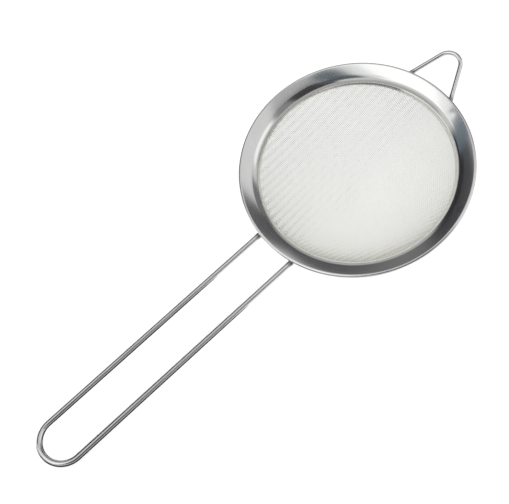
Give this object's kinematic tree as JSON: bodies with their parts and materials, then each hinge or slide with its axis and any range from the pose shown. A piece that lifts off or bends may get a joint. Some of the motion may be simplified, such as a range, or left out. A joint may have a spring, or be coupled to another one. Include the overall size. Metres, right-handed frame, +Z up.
{
  "type": "fine-mesh strainer",
  "caption": "Round fine-mesh strainer for sifting flour, with a polished steel rim, a long wire loop handle and a small wire rest ear.",
  "frame": {"origin": "on the table, under the middle of the bounding box, with the strainer lying as it rests by itself", "axes": "+X along the handle, from the bowl to the end of the loop; +Z up, away from the table; +Y across"},
  "size_m": [0.3303, 0.14, 0.0677],
  "materials": {
    "polished_rim_steel": "mirror-polished stainless steel",
    "woven_steel_cloth": "fine woven stainless wire cloth",
    "satin_ring_steel": "satin stainless steel",
    "bright_handle_wire": "bright drawn stainless wire",
    "bright_ear_wire": "bright drawn stainless wire"
  },
  "bodies": {
    "root": {"rim_band": "polished_rim_steel", "mesh_bowl": "woven_steel_cloth", "backing_ring": "satin_ring_steel", "handle_loop": "bright_handle_wire", "rest_ear": "bright_ear_wire"}
  },
  "joints": []
}
